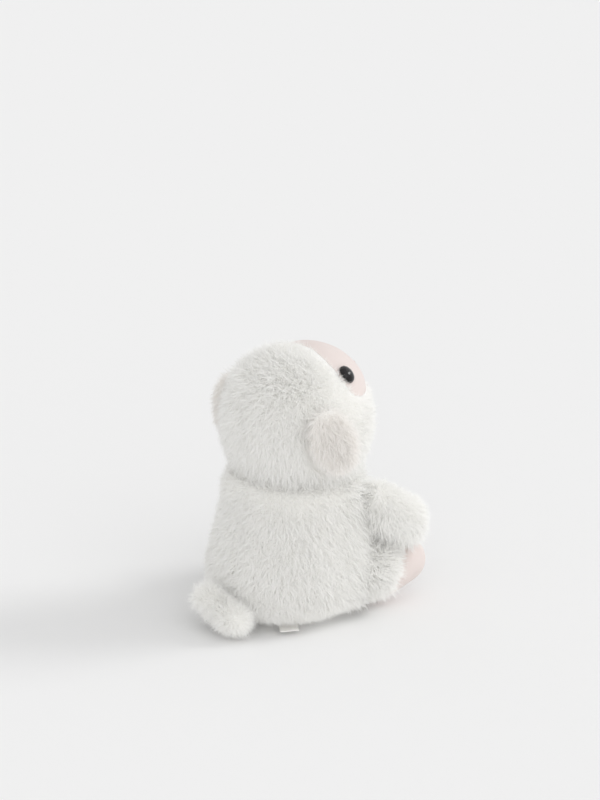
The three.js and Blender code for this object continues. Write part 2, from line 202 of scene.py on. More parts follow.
def cloth_group():
    tree = bpy.data.node_groups.new("cloth_nap", "ShaderNodeTree")
    for socket in ("Colour", "Shade"):
        tree.interface.new_socket(socket, in_out="INPUT", socket_type="NodeSocketColor")
    for socket in ("Mottle Scale", "Mottle Amount", "Nap Scale", "Nap Height"):
        tree.interface.new_socket(socket, in_out="INPUT", socket_type="NodeSocketFloat")
    for socket, kind in (("Colour", "Color"), ("Normal", "Vector"), ("Roughness", "Float")):
        tree.interface.new_socket(socket, in_out="OUTPUT", socket_type="NodeSocket" + kind)
    nodes, link = tree.nodes, tree.links.new
    given, out = nodes.new("NodeGroupInput"), nodes.new("NodeGroupOutput")
    place = nodes.new("ShaderNodeTexCoord")
    mottle = nodes.new("ShaderNodeTexNoise")
    mottle.inputs["Detail"].default_value = 3
    link(place.outputs["Object"], mottle.inputs["Vector"])
    link(given.outputs["Mottle Scale"], mottle.inputs["Scale"])
    amount = nodes.new("ShaderNodeMath")
    amount.operation = "MULTIPLY"
    link(mottle.outputs["Fac"], amount.inputs[0])
    link(given.outputs["Mottle Amount"], amount.inputs[1])
    mix = nodes.new("ShaderNodeMix")
    mix.data_type = "RGBA"
    link(amount.outputs[0], mix.inputs["Factor"])
    link(given.outputs["Colour"], mix.inputs["A"])
    link(given.outputs["Shade"], mix.inputs["B"])
    link(mix.outputs["Result"], out.inputs["Colour"])
    nap = nodes.new("ShaderNodeTexNoise")
    nap.inputs["Detail"].default_value = 2
    link(place.outputs["Object"], nap.inputs["Vector"])
    link(given.outputs["Nap Scale"], nap.inputs["Scale"])
    bump = nodes.new("ShaderNodeBump")
    bump.inputs["Strength"].default_value = 0.6
    link(given.outputs["Nap Height"], bump.inputs["Distance"])
    link(nap.outputs["Fac"], bump.inputs["Height"])
    link(bump.outputs["Normal"], out.inputs["Normal"])
    rough = nodes.new("ShaderNodeMapRange")
    rough.inputs["To Min"].default_value = 0.82
    rough.inputs["To Max"].default_value = 1.0
    link(nap.outputs["Fac"], rough.inputs["Value"])
    link(rough.outputs["Result"], out.inputs["Roughness"])
    return tree


cloth_nap = cloth_group()


def cloth_material(
    name, color, shade, mottle_scale=120, nap_scale=2600, nap_height=0.2 * mm, sheen=0.0
):
    """A cloth that spreads light. A nap height of 0 leaves the surface's own normal alone."""
    material = bpy.data.materials.new(name)
    material.use_nodes = True
    nodes, link = material.node_tree.nodes, material.node_tree.links.new
    surface = nodes["Principled BSDF"]
    nap = nodes.new("ShaderNodeGroup")
    nap.node_tree = cloth_nap
    values = {
        "Colour": (*color, 1),
        "Shade": (*shade, 1),
        "Mottle Scale": mottle_scale,
        "Mottle Amount": 0.5,
        "Nap Scale": nap_scale,
        "Nap Height": nap_height,
    }
    for socket, value in values.items():
        nap.inputs[socket].default_value = value
    link(nap.outputs["Colour"], surface.inputs["Base Color"])
    link(nap.outputs["Roughness"], surface.inputs["Roughness"])
    if nap_height:
        link(nap.outputs["Normal"], surface.inputs["Normal"])
    surface.inputs["Specular IOR Level"].default_value = 0.1
    surface.inputs["Sheen Weight"].default_value = sheen
    surface.inputs["Sheen Roughness"].default_value = 0.5
    return material


# %% [markdown]
# The toy shows white fur, a pink velour and a few threads. Each could have one flat colour, but two
# close shades of it, mixed by the mottle, read as pile that lies this way and that. The strands of
# the ears are a little warmer, because there the pink lining shines through.

# %% Cloths
cloths = {
    "fur_backing": ((0.95, 0.945, 0.93), (0.9, 0.895, 0.88), {}),
    "fur_strand": ((0.985, 0.982, 0.97), (0.96, 0.956, 0.94), {"nap_height": 0}),
    "ear_strand": ((0.962, 0.948, 0.93), (0.943, 0.925, 0.905), {"nap_height": 0}),
    "pink_velour": ((0.77, 0.68, 0.65), (0.82, 0.75, 0.72), {"mottle_scale": 90, "sheen": 0.2}),
    "fibre_fill": (
        (0.9, 0.9, 0.88), (0.8, 0.8, 0.78), {"nap_scale": 900, "nap_height": 0.6 * mm}
    ),
    "pouch_cloth": (
        (0.8, 0.77, 0.7), (0.7, 0.67, 0.6), {"nap_scale": 1500, "nap_height": 0.3 * mm}
    ),
    "white_thread": ((0.92, 0.91, 0.88), (0.84, 0.83, 0.8), {"nap_scale": 5000}),
    "pink_thread": ((0.72, 0.46, 0.44), (0.62, 0.37, 0.36), {"nap_scale": 5000, "sheen": 0.3}),
    "label_ribbon": ((0.9, 0.89, 0.87), (0.82, 0.81, 0.79), {"nap_scale": 4200, "sheen": 0.2}),
}
for name, (color, shade, nap) in cloths.items():
    cloths[name] = cloth_material(name, color, shade, **nap)

# %% [markdown]
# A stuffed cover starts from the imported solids. Their shared hull gives its closed outer shape, a
# voxel remesh gives it even faces, and smoothing takes the facets away. A cover modelled from a
# fresh sphere would also work, but it could drift from the solids, and the hull can't.

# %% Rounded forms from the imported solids


def node_bmesh(*names):
    bm = bmesh.new()
    for name in names:
        bm.from_mesh(frame["nodes"][name].data)
    bmesh.ops.remove_doubles(bm, verts=bm.verts, dist=merge_gap)
    return bm


def hull_of(*names):
    bm = node_bmesh(*names)
    made = bmesh.ops.convex_hull(bm, input=bm.verts, use_existing_faces=False)
    kept = {element for element in made["geom"] if isinstance(element, bmesh.types.BMFace)}
    bmesh.ops.delete(bm, geom=[face for face in bm.faces if face not in kept], context="FACES")
    loose = [vert for vert in bm.verts if not vert.link_faces]
    bmesh.ops.delete(bm, geom=loose, context="VERTS")
    bmesh.ops.recalc_face_normals(bm, faces=bm.faces)
    return bm


def filled(skin, stuffing, grow=1.06):
    """A skin and its filling in one bmesh, the filling grown until it meets the skin's inside."""
    bm = node_bmesh(stuffing)
    centre = (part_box(stuffing)[0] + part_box(stuffing)[1]) / 2
    bmesh.ops.scale(bm, verts=bm.verts, vec=(grow,) * 3, space=Matrix.Translation(-centre))
    bm.from_mesh(frame["nodes"][skin].data)
    bmesh.ops.remove_doubles(bm, verts=bm.verts, dist=merge_gap)
    return bm


def rounded(name, bm, voxel, passes):
    piece = mesh_object(name, bm)
    remesh = piece.modifiers.new("even_faces", "REMESH")
    remesh.mode = "VOXEL"
    remesh.voxel_size = voxel
    smooth = piece.modifiers.new("soft_facets", "SMOOTH")
    smooth.factor = 0.5
    smooth.iterations = passes
    return settle(piece)


# %% [markdown]
# A real cover is cloth under the pressure of its filling: it swells between its seams, and each
# seam holds it back in a shallow valley. A cloth simulation alone could find the shape, but it
# takes minutes to fill a cover. Here most of the swell is even and fades at the seams, and a short
# simulation adds the last part. Points on a seam are pinned, the others swell, and a cap keeps
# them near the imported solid.

# %% Stuffing a cover
swell = 1.2 * mm
even_share, simulated_share = 0.85, 0.4
every_axis = {"use_axis_" + axis: True for axis in "xyz"}


def smooth_step(low, high, value):
    share = min(max((value - low) / (high - low), 0), 1)
    return share * share * (3 - 2 * share)


def draw_in(form, inset_at, step=0.8 * mm):
    """Moves each point inwards along its normal by the inset that its place asks for.
    Small steps with a smoothing between them keep narrow ends from turning inside out."""
    bm = bmesh.new()
    bm.from_mesh(form.data)
    insets = [inset_at(vert.co) for vert in bm.verts]
    steps = max(1, math.ceil(max(map(abs, insets)) / step))
    for _number in range(steps):
        bm.normal_update()
        moves = [vert.normal * inset / steps for vert, inset in zip(bm.verts, insets)]
        for vert, move in zip(bm.verts, moves):
            vert.co -= move
        if steps > 1:
            bmesh.ops.smooth_vert(bm, verts=bm.verts, factor=0.5, **every_axis)
    bm.to_mesh(form.data)
    bm.free()
    return form


def stuff(form, seam_distance, inset_at, most=swell, pressure=60, frames=12, seam_width=1.4 * mm):
    """Draws a form in, then swells it between its seams. A cloth simulation makes the last part."""
    even = even_share * most
    draw_in(form, lambda point: inset_at(point) + most)
    draw_in(form, lambda point: -even * smooth_step(0, 3 * seam_width, seam_distance(point)))
    start = [point.co.copy() for point in form.data.vertices]
    held = form.vertex_groups.new(name="seams")
    for index, point in enumerate(start):
        free = smooth_step(0.3 * seam_width, seam_width, seam_distance(point))
        held.add([index], 1 - free, "REPLACE")
    cloth = form.modifiers.new("filling_pressure", "CLOTH")
    cloth.settings.quality = 4
    cloth.settings.mass = 0.01
    cloth.settings.tension_stiffness = cloth.settings.compression_stiffness = 0.1
    cloth.settings.bending_stiffness = 0.01
    cloth.settings.use_pressure = True
    cloth.settings.uniform_pressure_force = pressure
    cloth.settings.effector_weights.gravity = 0
    cloth.settings.vertex_group_mass = held.name
    cloth.point_cache.frame_end = frames
    for number in range(1, frames + 1):
        scene.frame_set(number)
        bpy.context.view_layer.update()
    settle(form)
    scene.frame_set(1)
    moved = []
    for index, point in enumerate(form.data.vertices):
        move = point.co - start[index]
        moved.append(move.length / mm)
        if move.length > simulated_share * most:
            point.co = start[index] + move.normalized() * simulated_share * most
    form.vertex_groups.clear()
    mean = sum(moved) / len(moved)
    print(f"{form.name} swelled by {mean:.2f} mm, at most {max(moved):.2f} before the cap")
    return form


# %% [markdown]
# Each form is later cut into the panels that the toy is sewn from. A plane cut gives a straight
# seam. The face's oval seam is curved, so the points nearest to it are moved onto it instead.

# %% Cutting a form into panels


def cut(form, point, normal):
    """Adds a straight row of edges where a plane crosses a form."""
    bm = bmesh.new()
    bm.from_mesh(form.data)
    parts = bm.verts[:] + bm.edges[:] + bm.faces[:]
    bmesh.ops.bisect_plane(bm, geom=parts, plane_co=point, plane_no=normal, dist=0.05 * mm)
    bm.to_mesh(form.data)
    bm.free()


def onto_seam(form, share_at, reach=0.2 * mm, furthest=1.5 * mm):
    """Moves the points between a curved seam's two sides onto it. On the seam the share is 1."""
    bm = bmesh.new()
    bm.from_mesh(form.data)
    inside = {face: share_at(face.calc_center_median()) < 1 for face in bm.faces}
    between = [v for v in bm.verts if len({inside[face] for face in v.link_faces}) == 2]
    axes = [Vector((reach, 0, 0)), Vector((0, reach, 0)), Vector((0, 0, reach))]
    for vert in between:
        for _turn in range(3):
            rises = [share_at(vert.co + axis) - share_at(vert.co - axis) for axis in axes]
            slope = Vector(rises) / (2 * reach)
            slope -= vert.normal * slope.dot(vert.normal)
            move = slope * ((share_at(vert.co) - 1) / max(slope.length_squared, 1))
            if move.length < furthest:
                vert.co -= move
    print(form.name, "has", len(between), "points on its curved seam")
    bm.to_mesh(form.data)
    bm.free()


def split(form, parts):
    """Parts a form into named pieces. A face goes to the first part whose test its middle meets."""
    bm = bmesh.new()
    bm.from_mesh(form.data)
    middles = [face.calc_center_median() for face in bm.faces]
    owners = [next(name for name, test in parts.items() if test(at)) for at in middles]
    pieces = {}
    for name in parts:
        panel = bm.copy()
        panel.faces.ensure_lookup_table()
        others = [face for face, owner in zip(panel.faces, owners) if owner != name]
        bmesh.ops.delete(panel, geom=others, context="FACES")
        pieces[name] = mesh_object(name, panel)
    bm.free()
    return pieces


cloth_thickness = 0.7 * mm


def drop_pile_values(piece):
    """Removes the two values that only the pile scatter needed."""
    for name in [a.name for a in piece.data.attributes if a.name.startswith("pile_")]:
        piece.data.attributes.remove(piece.data.attributes[name])


def sew_up(piece, body, slot, node):
    """Gives a cover its cloth and its place in the toy. Bare velour is made smoother."""
    piece.data.materials.clear()
    piece.data.materials.append(cloths["fur_backing" if slot == "fur" else "pink_velour"])
    if slot == "velour":
        finer = piece.modifiers.new("finer", "SUBSURF")
        finer.levels = finer.render_levels = 1
    wall = piece.modifiers.new("cloth_thickness", "SOLIDIFY")
    wall.thickness = cloth_thickness
    wall.offset = -1
    drop_pile_values(settle(piece))
    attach(piece, body)
    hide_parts(node)


# %% [markdown]
# The pile makes this toy. Hair curves would render well but leave no mesh behind, so a tuft of
# fibres is a closed three-sided strand. It is modelled by extruding a triangle upwards, wider at
# the middle, to a point that leans over.

# %% One strand of pile
strand_length = 6.6 * mm
strand_radius = 0.13 * mm
root_width = 0.65
strand_steps = [(0.45, 1.0, 0.05), (1.0, 0.02, 0.32)]  # height, width and lean, as shares


def strand_object(name, material):
    bm = bmesh.new()
    width = root_width
    bmesh.ops.create_circle(bm, cap_ends=True, segments=3, radius=strand_radius * width)
    base = bm.faces[:][0]
    base.normal_flip()
    face, height, bend = base, 0, 0
    for rise, share, lean in strand_steps:
        made = bmesh.ops.extrude_face_region(bm, geom=[face], use_keep_orig=face is base)
        if face is not base:
            bmesh.ops.delete(bm, geom=[face], context="FACES_ONLY")
        face = next(item for item in made["geom"] if isinstance(item, bmesh.types.BMFace))
        step = (strand_length * (lean - bend), 0, strand_length * (rise - height))
        bmesh.ops.translate(bm, verts=face.verts, vec=step)
        about_middle = Matrix.Translation(-face.calc_center_median())
        bmesh.ops.scale(bm, verts=face.verts, vec=(share / width,) * 3, space=about_middle)
        height, bend, width = rise, lean, share
    bmesh.ops.pointmerge(bm, verts=face.verts, merge_co=face.calc_center_median())
    bmesh.ops.recalc_face_normals(bm, faces=bm.faces)
    bmesh.ops.triangulate(bm, faces=bm.faces)
    piece = mesh_object(name, bm, material, smooth=False)
    piece.hide_render = True
    print(name, "has", len(piece.data.polygons), "faces")
    return piece


long_strand = strand_object("pile_strand", cloths["fur_strand"])
ear_pile_strand = strand_object("ear_strand", cloths["ear_strand"])

# %% [markdown]
# A geometry node group scatters the strands over a cover. Each one stands along the surface's
# normal, leans with the comb direction that the cover carries, and joins its neighbours in tufts
# because a slow noise leans them alike. A fast random lean keeps single strands apart.

# %% The pile scatter
shortest_share, lowest_strand = 0.04, 0.1 * mm


def pile_group():
    tree = bpy.data.node_groups.new("pile_scatter", "GeometryNodeTree")
    numbers = ("Density", "Length", "Tuft Size", "Tuft Lean", "Loose Lean")
    inputs = {"Geometry": "Geometry", "Strand": "Object"}
    inputs.update(dict.fromkeys(numbers, "Float"), Seed="Int")
    for name, kind in inputs.items():
        tree.interface.new_socket(name, in_out="INPUT", socket_type="NodeSocket" + kind)
    tree.interface.new_socket("Geometry", in_out="OUTPUT", socket_type="NodeSocketGeometry")
    nodes, link = tree.nodes, tree.links.new
    given, out = nodes.new("NodeGroupInput"), nodes.new("NodeGroupOutput")

    def feed(socket, value):
        if isinstance(value, bpy.types.NodeSocket):
            link(value, socket)
        else:
            socket.default_value = value

    def maths(operation, *values):
        node = nodes.new("ShaderNodeMath")
        node.operation = operation
        for socket, value in zip(node.inputs, values):
            feed(socket, value)
        return node.outputs[0]

    def vectors(operation, *values, scale=None):
        node = nodes.new("ShaderNodeVectorMath")
        node.operation = operation
        for socket, value in zip(node.inputs, values):
            feed(socket, value)
        if scale is not None:
            feed(node.inputs["Scale"], scale)
        return node.outputs[0]

    def attribute(name, kind):
        node = nodes.new("GeometryNodeInputNamedAttribute")
        node.data_type = kind
        node.inputs["Name"].default_value = name
        return node.outputs["Attribute"]

    def random(kind, low, high, seed):
        node = nodes.new("FunctionNodeRandomValue")
        node.data_type = kind
        ends = [s for s in node.inputs if s.enabled and s.name in ("Min", "Max")]
        ends[0].default_value, ends[1].default_value = low, high
        link(maths("ADD", given.outputs["Seed"], seed), node.inputs["Seed"])
        return next(socket for socket in node.outputs if socket.enabled)

    position = nodes.new("GeometryNodeInputPosition").outputs[0]
    pile_length = attribute("pile_length", "FLOAT")
    comb = attribute("pile_comb", "FLOAT_VECTOR")
    spread = nodes.new("GeometryNodeDistributePointsOnFaces")
    link(given.outputs["Geometry"], spread.inputs["Mesh"])
    present = maths("GREATER_THAN", pile_length, shortest_share)
    link(maths("MULTIPLY", given.outputs["Density"], present), spread.inputs["Density"])
    link(given.outputs["Seed"], spread.inputs["Seed"])

    tuft = nodes.new("ShaderNodeTexNoise")
    tuft.inputs["Detail"].default_value = 1
    link(position, tuft.inputs["Vector"])
    link(maths("DIVIDE", 1.0, given.outputs["Tuft Size"]), tuft.inputs["Scale"])
    centred = vectors("SUBTRACT", tuft.outputs["Color"], (0.5, 0.5, 0.5))
    lean = vectors("SCALE", centred, scale=given.outputs["Tuft Lean"])
    loose = random("FLOAT_VECTOR", (-1, -1, -1), (1, 1, 1), 11)
    loose = vectors("SCALE", loose, scale=given.outputs["Loose Lean"])
    lean = vectors("ADD", comb, vectors("ADD", lean, loose))
    heading = vectors("ADD", spread.outputs["Normal"], lean)
    upright = nodes.new("FunctionNodeAlignRotationToVector")
    upright.axis = "Z"
    link(heading, upright.inputs["Vector"])
    over = nodes.new("FunctionNodeAlignRotationToVector")
    over.axis, over.pivot_axis = "X", "Z"
    link(upright.outputs[0], over.inputs["Rotation"])
    droop = vectors("ADD", vectors("SCALE", loose, scale=1.5), (0, 0, -0.25))
    link(vectors("ADD", comb, droop), over.inputs["Vector"])

    size = maths("MULTIPLY", pile_length, given.outputs["Length"])
    size = maths("MULTIPLY", size, random("FLOAT", 0.8, 1.1, 23))
    size = maths("MULTIPLY", size, maths("ADD", 0.82, maths("MULTIPLY", tuft.outputs["Fac"], 0.36)))

    place = nodes.new("GeometryNodeInstanceOnPoints")
    source = nodes.new("GeometryNodeObjectInfo")
    link(given.outputs["Strand"], source.inputs["Object"])
    link(spread.outputs["Points"], place.inputs["Points"])
    link(source.outputs["Geometry"], place.inputs["Instance"])
    link(over.outputs[0], place.inputs["Rotation"])
    link(size, place.inputs["Scale"])
    real = nodes.new("GeometryNodeRealizeInstances")
    link(place.outputs["Instances"], real.inputs["Geometry"])

    above_floor = nodes.new("GeometryNodeSetPosition")
    axes, join = nodes.new("ShaderNodeSeparateXYZ"), nodes.new("ShaderNodeCombineXYZ")
    link(real.outputs["Geometry"], above_floor.inputs["Geometry"])
    link(position, axes.inputs[0])
    for axis in "XY":
        link(axes.outputs[axis], join.inputs[axis])
    link(maths("MAXIMUM", axes.outputs["Z"], lowest_strand), join.inputs["Z"])
    link(join.outputs[0], above_floor.inputs["Position"])
    link(above_floor.outputs["Geometry"], out.inputs["Geometry"])
    return tree


pile_scatter = pile_group()

# %% [markdown]
# A real pile has long guard fibres over a shorter, denser underfur. One even layer would look like
# cut grass, so each cover grows both, as two pieces. The long one lies in tufts, and the short one
# is looser and fills the gaps. Length and comb are worked out at each point of the cover.

# %% Growing a pile on a cover
layers = {  # strands per square metre, length, tuft lean and loose lean
    "pile": (2.1e6, 1.0, 0.8, 0.42),
    "underfur": (2.6e6, 0.76, 0.5, 0.6),
}
pile_triangles = {}


def set_pile(form, length_at, comb_at):
    """Stores at each point of a form its pile's length, as a share, and which way it is combed."""
    lengths = form.data.attributes.new("pile_length", "FLOAT", "POINT")
    combs = form.data.attributes.new("pile_comb", "FLOAT_VECTOR", "POINT")
    for vert in form.data.vertices:
        lengths.data[vert.index].value = length_at(vert.co, vert.normal)
        combs.data[vert.index].vector = comb_at(vert.co, vert.normal)


def grow_pile(cover, name, body, length=1.0, crowding=1.0, seed=1, tuft_size=7 * mm, strand=None):
    """Grows a cover's pile as two pieces: the long pile, and the shorter, looser underfur."""
    for number, (layer, (density, share, tuft, loose)) in enumerate(layers.items()):
        piece = bpy.data.objects.new(name.replace("pile", layer), cover.data.copy())
        scene.collection.objects.link(piece)
        scatter = piece.modifiers.new("pile", "NODES")
        scatter.node_group = pile_scatter
        values = {
            "Strand": strand or long_strand,
            "Density": crowding * density,
            "Length": length * share,
            "Tuft Size": tuft_size,
            "Tuft Lean": tuft,
            "Loose Lean": loose,
            "Seed": seed + 100 * number,
        }
        for socket in pile_scatter.interface.items_tree:
            if socket.in_out == "INPUT" and socket.name in values:
                scatter[socket.identifier] = values[socket.name]
        drop_pile_values(settle(piece, smooth=False))
        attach(piece, body)
        pile_triangles[piece.name] = len(piece.data.polygons)


# %% [markdown]
# All covers are stuffed before any pile grows, because a pile must stop where another cover
# presses against its own. The torso is a pear-shaped sack of four panels with a flat seat. One
# depth all over would open gaps at the neck and limbs, so it is drawn in less there.

# %% The torso's form
pile_depth = 3.3 * mm
joints = {joint["name"]: joint for joint in frame["joints"]}
head_centre = Vector(joints["head_nod"]["pos_m"])
seat_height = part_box("seat_panel")[1].z
belly_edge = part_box("belly_panel")[1].y
torso_nodes = ["seat_panel", "belly_panel", "back_panel_left", "back_panel_right"]


def torso_seam(point):
    centre = abs(point.x) if point.y > belly_edge else 1
    return min(centre, abs(point.y - belly_edge), abs(point.z - seat_height))


def torso_inset(point):
    """A pile's depth, and less at the neck and beside the limbs, where the creases are shallow."""
    rim = smooth_step(56 * mm, 67 * mm, point.z)
    beside_limb = smooth_step(-4 * mm, -20 * mm, point.y)
    crease = 1 - max(0.6 * rim, 0.45 * beside_limb)
    above_seat = smooth_step(-1 * mm, 5 * mm, point.z)
    return (pile_depth + 0.4 * mm) * crease * above_seat + 0.1 * mm


torso = rounded("torso_form", hull_of(*torso_nodes), 2 * mm, 6)
stuff(torso, torso_seam, torso_inset)

# %% [markdown]
# The head is a ball with its face turned up. It could be drawn in evenly, but the face panel is an
# oval of velour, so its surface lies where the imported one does, while the cloth under the fur
# around it lies a pile's depth lower. It lies less deep on the crown, under the chin and beside
# the eyes, which sit in small mounds.

# %% The head's form
head_pile_depth = 3.7 * mm
face_up = math.radians(42)
face_forward = Vector((0, -math.cos(face_up), math.sin(face_up)))
face_top = Vector((0, math.sin(face_up), math.cos(face_up)))
face_half_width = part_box("face_panel")[1].x - 2 * mm
face_half_height = 16.6 * mm
face_rise = 6 * mm
sides = {"left": 1, "right": -1}


def middle(*nodes):
    corners = [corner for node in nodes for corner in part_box(node)]
    return sum(corners, Vector()) / len(corners)


eyes = [middle("eye_" + side) for side in sides]


def face_share(point):
    """0 in the middle of the face panel, 1 on its seam, and more outside it."""
    offset = point - head_centre
    if offset.dot(face_forward) < 0:
        return 9
    across = offset.x / face_half_width
    upwards = (offset.dot(face_top) - face_rise) / face_half_height
    return math.hypot(across, upwards)


def from_eye(point):
    return min((point - eye).length for eye in eyes)


def head_seam(point):
    share = face_share(point)
    return min(abs(share - 1) * face_half_height, abs(point.x) if share > 1 else 1)


def crown_share(point):
    """1 on the crown above and behind the face, 0 on the rest of the head."""
    offset = point - head_centre
    above_face = smooth_step(9 * mm, 21 * mm, offset.dot(face_top))
    return above_face * smooth_step(8 * mm, 24 * mm, offset.z)


def head_inset(point):
    share = face_share(point)
    eye_seat = 1 - smooth_step(7 * mm, 11 * mm, from_eye(point))
    face_lift = swell * (1 - smooth_step(1.0, 1.15, share))
    low = smooth_step(-16 * mm, -27 * mm, point.z - head_centre.z)
    under_pile = head_pile_depth * (1 - 0.6 * eye_seat) * (1 - 0.55 * low)
    under_pile *= (1 - 0.35 * crown_share(point)) * smooth_step(1.1, 1.34, share)
    return under_pile + 0.1 * mm - max(face_lift, 1.4 * mm * eye_seat)


head_hull = hull_of("head_panel_left", "head_panel_right", "face_panel")
head = rounded("head_form", head_hull, 1.6 * mm, 6)
stuff(head, head_seam, head_inset)
onto_seam(head, face_share)

# %% [markdown]
# Ears, arms, legs and tail are small pods of the same cloths. Each is sewn from flat pieces and
# turned right side out, so it has a seam along its edge. A leg also has an oval velour foot. They
# could be modelled from spheres, but the same way as for the torso and head keeps them in place.

# %% Small forms
small_voxel = 1.2 * mm
limb_pile_depth = 2.6 * mm
ear_swing, ear_flare, ear_turn = math.radians(18), math.radians(13), math.radians(16)
forms = {}


def pod(name, bm, seam_distance, inset_at, passes=4, most=swell):
    forms[name] = rounded(name + "_form", bm, small_voxel, passes)
    return stuff(forms[name], seam_distance, inset_at, most, seam_width=1 * mm)


foot_back = Vector((0, -0.9, -0.43))
foot_seams = {}
ear_normals = {}
ear_hinges = {side: Vector(joints["ear_lift_" + side]["axis"]) for side in sides}
for side, sign in sides.items():
    arm, leg, foot = "arm_skin_" + side, "leg_skin_" + side, "foot_cap_" + side
    flare = Matrix.Rotation(-sign * ear_flare, 3, "Y")
    turn = Matrix.Rotation(sign * ear_turn, 3, "Z")
    ear_normals[side] = Matrix.Rotation(-ear_swing, 3, "X") @ (flare @ turn) @ Vector((sign, 0, 0))
    foot_seams[side] = Vector((sign * 24 * mm, -41 * mm, 18 * mm))
    arm_middle = middle(arm)

    def arm_inset(point, at=arm_middle):
        return limb_pile_depth + 1.6 * mm * smooth_step(-2 * mm, 8 * mm, point.z - at.z)

    pod("arm_" + side, hull_of(arm), lambda p, m=arm_middle: abs(p.x - m.x), arm_inset)

    def foot_distance(point, at=foot_seams[side]):
        return (point - at).dot(foot_back)

    def leg_inset(point, distance=foot_distance):
        off_foot = 1 - smooth_step(-2 * mm, 3 * mm, distance(point))
        top = smooth_step(20 * mm, 32 * mm, point.z)
        return limb_pile_depth * off_foot * (1 - 0.5 * top) + 0.1 * mm

    pod("leg_" + side, hull_of(leg, foot), lambda p, d=foot_distance: abs(d(p)), leg_inset)
    ear_middle = middle("ear_back_" + side, "ear_lining_" + side)
    ear_normal = ear_normals[side]
    pod(
        "ear_" + side,
        hull_of("ear_back_" + side, "ear_lining_" + side),
        lambda p, m=ear_middle, n=ear_normal: abs((p - m).dot(n)),
        lambda p: -0.1 * mm,
        passes=2,
        most=0.3 * mm,
    )
tail_middle = middle("tail_skin")


def tail_inset(point):
    """A pile's depth, and less at the waist between the tail's two lobes."""
    return 3.2 * mm - 1.8 * mm * (1 - smooth_step(2 * mm, 9 * mm, abs(point.x - tail_middle.x)))


pod("tail", filled("tail_skin", "tail_stuffing"), lambda p: 1, tail_inset)

# %% [markdown]
# Pile is left off where a cover is hidden inside its neighbour. A search tree of each form tells
# how deep a point lies in it.

# %% How deep a point lies in another form


def depth_test(form):
    bm = bmesh.new()
    bm.from_mesh(form.data)
    tree = BVHTree.FromBMesh(bm)
    corners = [vert.co.copy() for vert in bm.verts]
    bm.free()
    lowest = [min(corner[axis] for corner in corners) for axis in range(3)]
    highest = [max(corner[axis] for corner in corners) for axis in range(3)]

    def depth(point):
        if any(not lowest[axis] < point[axis] < highest[axis] for axis in range(3)):
            return -1
        place, normal, _index, _distance = tree.find_nearest(point)
        return (place - point).dot(normal)

    return depth


depths = {name: depth_test(form) for name, form in {"torso": torso, "head": head, **forms}.items()}


def hidden_in(point, names, most=1.5 * mm):
    return any(depths[name](point) > most for name in names)


limb_names = [part + "_" + side for part in ("arm", "leg") for side in sides]
everything_on_torso = limb_names + ["tail", "head"]

# %% [markdown]
# The torso's fur falls down the back and sides, and forward beside the legs. One length all over
# would lift the toy off the floor and leave gaps beside the limbs. So it fades at the seat, where
# the toy sits on it, and grows longer beside the arms and legs, which hides where they join.

# %% Torso panels and pile


def torso_pile_length(point, normal):
    if hidden_in(point, everything_on_torso):
        return 0
    rim = smooth_step(54 * mm, 66 * mm, point.z)
    beside_limb = smooth_step(-4 * mm, -20 * mm, point.y)
    return (1 - 0.1 * rim + 0.5 * beside_limb) * smooth_step(-0.97, -0.35, normal.z)


def torso_comb(point, normal):
    fall = smooth_step(0, 25 * mm, point.z) - 0.75 * smooth_step(52 * mm, 66 * mm, point.z)
    beside_leg = smooth_step(-6 * mm, -24 * mm, point.y) * smooth_step(40 * mm, 20 * mm, point.z)
    return Vector((0, -0.7 * beside_leg, -0.6 * fall))


set_pile(torso, torso_pile_length, torso_comb)
cut(torso, (0, 0, seat_height), (0, 0, 1))
cut(torso, (0, belly_edge, 0), (0, 1, 0))
cut(torso, (0, 0, 0), (1, 0, 0))
torso_parts = split(
    torso,
    {
        "hidden_cloth": lambda p: hidden_in(p, everything_on_torso),
        "seat_cloth": lambda p: p.z < seat_height,
        "belly_cloth": lambda p: p.y < belly_edge,
        "back_cloth_left": lambda p: p.x > 0,
        "back_cloth_right": lambda p: True,
    },
)
bpy.data.objects.remove(torso_parts.pop("hidden_cloth"))
for seed, (name, node) in enumerate(zip(torso_parts, torso_nodes)):
    grow_pile(torso_parts[name], name.replace("cloth", "pile"), "torso", seed=seed)
    sew_up(torso_parts[name], "torso", "fur", node)
bpy.data.objects.remove(torso)

# %% [markdown]
# The head's fur falls down at the back and stands up beside the eyes. It could be one length, but
# on the real toy the pile is trimmed round the face. It is longest on the crown, and pressed down
# behind and under each ear, which leaves the dark fold there.

# %% Head panels and pile


def off_ear(point):
    """0 under an ear, 1 away from it."""
    share = 9
    for side, sign in sides.items():
        offset = point - middle("ear_back_" + side)
        if offset.x * sign < -20 * mm:
            continue
        hinge = ear_hinges[side]
        hang = ear_normals[side].cross(hinge)
        if hang.z > 0:
            hang.negate()
        down = offset.dot(hang) - 3.5 * mm
        rear = -sign * offset.dot(hinge) - 2.5 * mm
        share = min(share, math.hypot(rear / (9.5 * mm), down / (12 * mm)))
    return smooth_step(0.85, 1.15, share)


def head_pile_length(point, normal):
    share = face_share(point)
    if share < 1 or hidden_in(point, ["torso"]):
        return 0
    crown = crown_share(point)
    low = smooth_step(-10 * mm, -24 * mm, point.z - head_centre.z)
    beside_eye = 1.15 - 0.15 * smooth_step(7 * mm, 12 * mm, from_eye(point))
    off_face = smooth_step(1.0, 1.34, share)
    beside_face = 0.62 + 0.38 * off_face - 0.15 * crown * (1 - off_face)
    length = (1 + 0.2 * low) * (0.28 + 0.72 * off_ear(point)) * beside_eye * beside_face
    return max(length, (0.5 + 0.7 * off_face) * crown)


